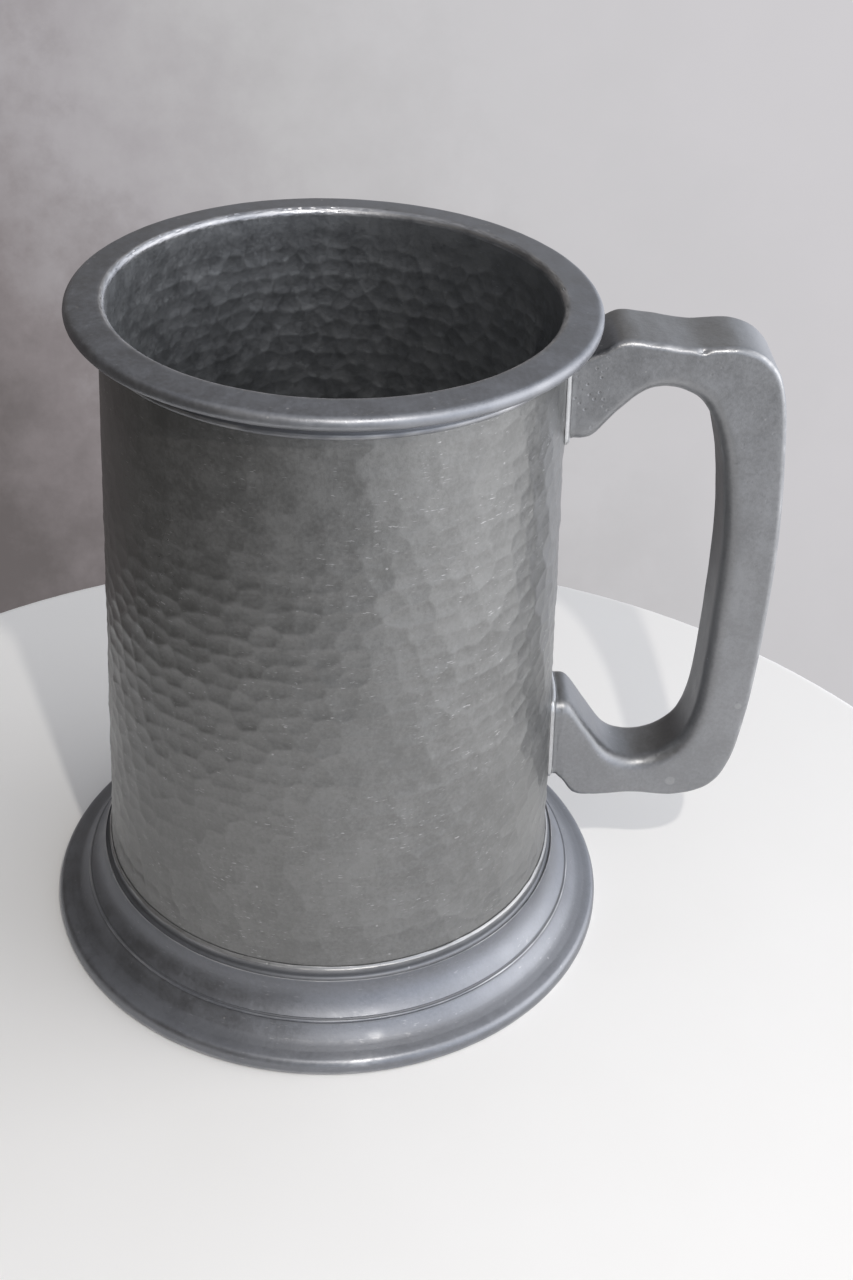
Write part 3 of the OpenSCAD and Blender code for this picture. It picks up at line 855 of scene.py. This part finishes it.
def section(depth, width, front, back, corner=8, flat=12):
    """Rounded rectangle with radius front at +x and back at -x: points, normals and how worn each
    is, with corner steps on each rounding and flat steps on each side."""
    points, normals, worn = [], [], []
    sides = [(1, 1, front), (-1, 1, back), (-1, -1, back), (1, -1, front)]

    def on_corner(side, normal):
        sx, sy, r = side
        return sx * (depth / 2 - r) + r * normal[0], sy * (width / 2 - r) + r * normal[1]

    for quarter, side in enumerate(sides):
        for k in range(corner + 1):
            turn = math.radians(90 * (quarter + k / corner))
            normals.append((math.cos(turn), math.sin(turn)))
            points.append(on_corner(side, normals[-1]))
            worn.append(math.sin(math.pi * k / corner) ** 5 * min(1, (front / side[2]) ** 3))
        here = np.array(points[-1])
        ahead = np.array(on_corner(sides[(quarter + 1) % 4], normals[-1]))
        for k in range(1, flat):
            points.append(tuple(here + (ahead - here) * k / flat))
            normals.append(normals[-1])
            worn.append(0.0)
    return np.array(points), np.array(normals), np.array(worn)


def handle_piece():
    inside, outside = smooth_curve(HANDLE_INSIDE, 12), smooth_curve(HANDLE_OUTSIDE, 12)

    def cut(a, b):
        """One section of the handle: points, ways out, wear and how much painted shade its inner
        face takes.
        """
        middle, depth = (a + b) / 2, np.linalg.norm(b - a)
        across = (b - a) / depth
        flat, way, worn = section(depth, handle_w(middle[1]), EDGE_ROUND, INNER_ROUND)
        x, z = middle[0] + across[0] * flat[:, 0], middle[1] + across[1] * flat[:, 0]
        ring = np.stack([x, flat[:, 1], z], 1)
        way_out = np.stack([across[0] * way[:, 0], way[:, 1], across[1] * way[:, 0]], 1)
        return ring, way_out, worn, smoothstep(0.6, 1, -way[:, 0])

    def pad(a, b, size):
        """A ring on a pad's face, which follows the barrel."""
        ring, way, worn, inner_face_shade = cut(a, b)
        mid_z = (a[1] + b[1]) / 2
        y, z = ring[:, 1] * size, mid_z + (ring[:, 2] - mid_z) * size
        x = np.sqrt(pad_face_r(z) ** 2 - y * y)
        return np.stack([x, y, z], 1), way * 0, worn * 0, inner_face_shade

    sizes = [0.02, 0.35, 0.7, 1]
    rings = [pad(inside[0], outside[0], size) for size in sizes]
    rings += [cut(a, b) for a, b in zip(inside[1:-1], outside[1:-1])]
    rings += [pad(inside[-1], outside[-1], size) for size in sizes[::-1]]
    points, ways, wear_and_glint, inner_face_shade = (np.array(part) for part in zip(*rings))
    rows, cols = wear_and_glint.shape
    u, v = np.meshgrid(np.arange(cols) / cols, np.arange(rows) / rows)
    uneven = 0.06 * lattice_noise(u, v, 12, 26) + 0.025 * lattice_noise(u, v, 30, 90) - 0.085
    points = points + ways * uneven[..., None]
    patchy = 0.25 + 0.6 * lattice_noise(u, v, 24, 150) + 0.3 * lattice_noise(u, v, 12, 26)
    flaw = np.exp(-((points - np.array(FLAW)) ** 2).sum(-1) / FLAW_R ** 2)
    points[..., 2] -= 0.4 * flaw
    points[..., 1] += 0.3 * flaw
    off_x = (points[..., 0] - PITTED_X) / PITTED_WIDE
    off_z = (points[..., 2] - PITTED_Z) / PITTED_TALL
    # Painted shade: the inner face, turned towards the barrel, is darkened.
    marks = {"wear_and_glint": np.clip(wear_and_glint * patchy + 0.8 * flaw, 0, 1),
             "pitted": np.exp(-(off_x ** 2 + off_z ** 2)), "dirt_and_shade": 0.35 * inner_face_shade}
    make_piece("handle_cast", points, capped_faces(rows, cols), ["handle"], CAST,
               marks, sharp_deg=50)


def pad_solder_piece(name, low, high, node):
    """Solder under a pad, with a rounded bead squeezed out round it."""
    middle, thick = (low + high) / 2, PAD_SOLDER_LOOKS_T
    half = np.array([(high - low) / 2, handle_w(middle) / 2]) + PAD_SOLDER_MARGIN
    bead = EDGE_ROUND + PAD_SOLDER_MARGIN
    outline = section(2 * half[0], 2 * half[1], bead, bead, 10, 24)[0]
    cols = len(outline)
    u = np.arange(cols) / cols
    uneven = 0.5 + 0.25 * lattice_noise(u, u * 0, 60, 1) + 0.25 * lattice_noise(u, u * 0, 19, 1)
    shape = [(half.min() * share, thick) for share in (0.98, 0.6, 0.3)]
    for turn in np.radians(np.linspace(90, 4, 10)):
        shape.append((PAD_SOLDER_MARGIN * (1 - math.cos(turn)), thick * math.sin(turn)))
    shape += [(inset, 0.0) for inset, _ in shape[::-1]]
    rings = []
    for inset, t in shape:
        drawn = inset + 0.16 * uneven * (inset < PAD_SOLDER_MARGIN)
        flat = outline * (half - drawn[:, None]) / half
        z, y = middle + flat[:, 0], flat[:, 1]
        r = barrel_r(z) + FILM + t
        rings.append(np.stack([np.sqrt(r * r - y * y), y, z], 1))
    rows = len(rings)
    marks = {"wear_and_glint": np.full((rows, cols), 0.35)}
    make_piece(name, rings, capped_faces(rows, cols), [node], SOLDER, marks,
               sharp_deg=60)


barrel_piece()
lip_piece()
foot_piece()
floor_piece()
floor_solder_piece()
foot_solder_piece()
handle_piece()
pad_solder_piece("upper_solder", UPPER_PAD_Z, UPPER_PAD_TOP, "upper_handle_solder")
pad_solder_piece("lower_solder", LOWER_PAD_Z, LOWER_PAD_TOP, "lower_handle_solder")


# Stage: a round white table top
TABLE_CENTRE, TABLE_R, TABLE_T, TABLE_ROUND = (3.1, -25.8), 148.7, 18.0, 3


def stage_table():
    cols, middle_r = 160, 0.5
    edge = arc((TABLE_R - TABLE_ROUND, -TABLE_ROUND), TABLE_ROUND, 90, 0, 6)
    profile = np.array([(middle_r, 0.0)] + edge + [(TABLE_R, -TABLE_T), (middle_r, -TABLE_T)])
    turn = np.arange(cols) * TAU / cols
    r, z = profile[:, :1], profile[:, 1:] * np.ones((1, cols))
    x, y = TABLE_CENTRE[0] + r * np.cos(turn), TABLE_CENTRE[1] + r * np.sin(turn)
    points = np.stack([x, y, z], -1).reshape(-1, 3)
    mesh = bpy.data.meshes.new("table_top")
    mesh.from_pydata((points * MM).tolist(), [], capped_faces(len(profile), cols))
    mesh.shade_smooth()
    mesh.set_sharp_from_angle(angle=math.radians(30))
    s = Shader("table_paint")
    paint = s.mix(s.noise(30.0), (0.87, 0.86, 0.845, 1), (0.9, 0.893, 0.883, 1))
    s.put(s.bsdf.inputs["Base Color"], paint)
    s.put(s.bsdf.inputs["Roughness"], 0.55)
    mesh.materials.append(s.material)
    top = bpy.data.objects.new("table_top", mesh)
    bpy.context.scene.collection.objects.link(top)


stage_table()


# Light
# Colours of the room from its dim left to its bright right: above, below and on the wall behind
UPPER_ROOM = [
    (-0.9, (0.08, 0.074, 0.068)), (-0.5, (0.15, 0.138, 0.125)), (-0.2, (0.3, 0.285, 0.27)),
    (0.0, (0.45, 0.44, 0.43)), (0.2, (0.63, 0.66, 0.71)), (0.45, (1.0, 1.06, 1.17)),
    (0.7, (1.38, 1.46, 1.62)), (0.9, (1.56, 1.66, 1.84))]
LOWER_ROOM = [
    (-0.9, (0.1, 0.095, 0.09)), (-0.5, (0.15, 0.148, 0.145)), (-0.1, (0.25, 0.25, 0.25)),
    (0.35, (0.5, 0.5, 0.505)), (0.6, (1.05, 1.05, 1.06)), (0.88, (1.6, 1.6, 1.62))]
# The wall behind is darker towards its lower left: a painted shadow of the mug.
WALL_BEHIND = [
    (-0.32, (0.14, 0.125, 0.125)), (-0.24, (0.245, 0.22, 0.225)), (-0.16, (0.4, 0.38, 0.395)),
    (-0.05, (0.51, 0.5, 0.51)), (0.05, (0.58, 0.57, 0.585)), (0.2, (0.62, 0.605, 0.625)),
    (0.33, (0.64, 0.625, 0.645)), (0.55, (1.13, 1.16, 1.25)), (0.85, (1.55, 1.6, 1.75))]
# Ceiling, divided by RAMP_SCALE as the ramps are
CEILING = (0.3, 0.304, 0.322, 1)


def room():
    """A pale room: bright on the right, dim on the left, a grey wall behind with a painted shadow
    of the mug at its lower left, and a dim floor.
    """
    world = bpy.data.worlds.new("room")
    bpy.context.scene.world = world
    world.use_nodes = True
    s = Shader.__new__(Shader)
    s.tree = world.node_tree
    way = s.node("ShaderNodeTexCoord").outputs["Generated"]
    x, y, z = s.node("ShaderNodeSeparateXYZ", {0: way}).outputs
    to_window = s.math("MULTIPLY_ADD", x, 0.92, s.math("MULTIPLY", y, -0.2))
    upper = s.ramp(to_window, -1, 1, UPPER_ROOM)
    upper = s.mix(s.remap(z, 0.64, 0.92, 0.0, 0.8), upper, CEILING)
    lower = s.ramp(to_window, -1, 1, LOWER_ROOM)
    open_room = s.mix(s.remap(z, -0.3, 0.1), lower, upper)
    plaster = s.remap(s.noise(14.0, 6.0, 0.65, way), 0.3, 0.7, -0.03, 0.03)
    # Painted shadow of the mug: the wall darkens towards its lower left.
    leaning = s.math("MULTIPLY_ADD", s.math("ADD", z, 0.28), 0.55, x)
    wall = s.ramp(s.math("ADD", leaning, plaster), -0.5, 1.0, WALL_BEHIND)
    behind = s.math("MULTIPLY", s.remap(y, 0.2, 0.5), s.remap(z, 0.3, 0.0))
    background = world.node_tree.nodes["Background"]
    s.put(background.inputs["Color"], s.mix(behind, open_room, wall))
    s.put(background.inputs["Strength"], RAMP_SCALE)


def lamp(name, place, size, power, colour):
    """A round lamp that faces the mug, in metres and watts."""
    aim = Vector((0, 0, 0.05))
    data = bpy.data.lights.new(name, "AREA")
    data.shape = "DISK"
    data.size = size
    data.energy = power
    data.color = colour
    made = bpy.data.objects.new(name, data)
    made.location = place
    made.rotation_mode = "QUATERNION"
    made.rotation_quaternion = (aim - Vector(place)).to_track_quat("-Z", "Y")
    bpy.context.scene.collection.objects.link(made)


room()
lamp("window", (1.1, -0.02, 0.5), size=1.2, power=5.3, colour=(1.0, 0.94, 0.85))
lamp("front", (0.083, -0.3, 0.41), size=0.012, power=0.74, colour=(1.0, 0.955, 0.89))


# Camera, fitted to the photo, in metres
EYE = (0.00302, -0.27156, 0.24532)
LOOKS_ALONG = (0.04422, 0.82283, -0.56657)
RIGHT_HAND = (0.99887, -0.02657, 0.03939)
SENSOR_W, LENS = 36.0, 49.71


def camera():
    data = bpy.data.cameras.new("camera")
    data.sensor_width = SENSOR_W
    data.lens = LENS
    data.clip_start = 0.01
    forward = Vector(LOOKS_ALONG).normalized()
    up = Vector(RIGHT_HAND).cross(forward).normalized()
    right = forward.cross(up).normalized()
    made = bpy.data.objects.new("camera", data)
    turn = Matrix((right, up, -forward)).transposed().to_4x4()
    made.matrix_world = Matrix.Translation(EYE) @ turn
    bpy.context.scene.collection.objects.link(made)
    bpy.context.scene.camera = made


camera()
bpy.context.scene.view_settings.view_transform = "Standard"
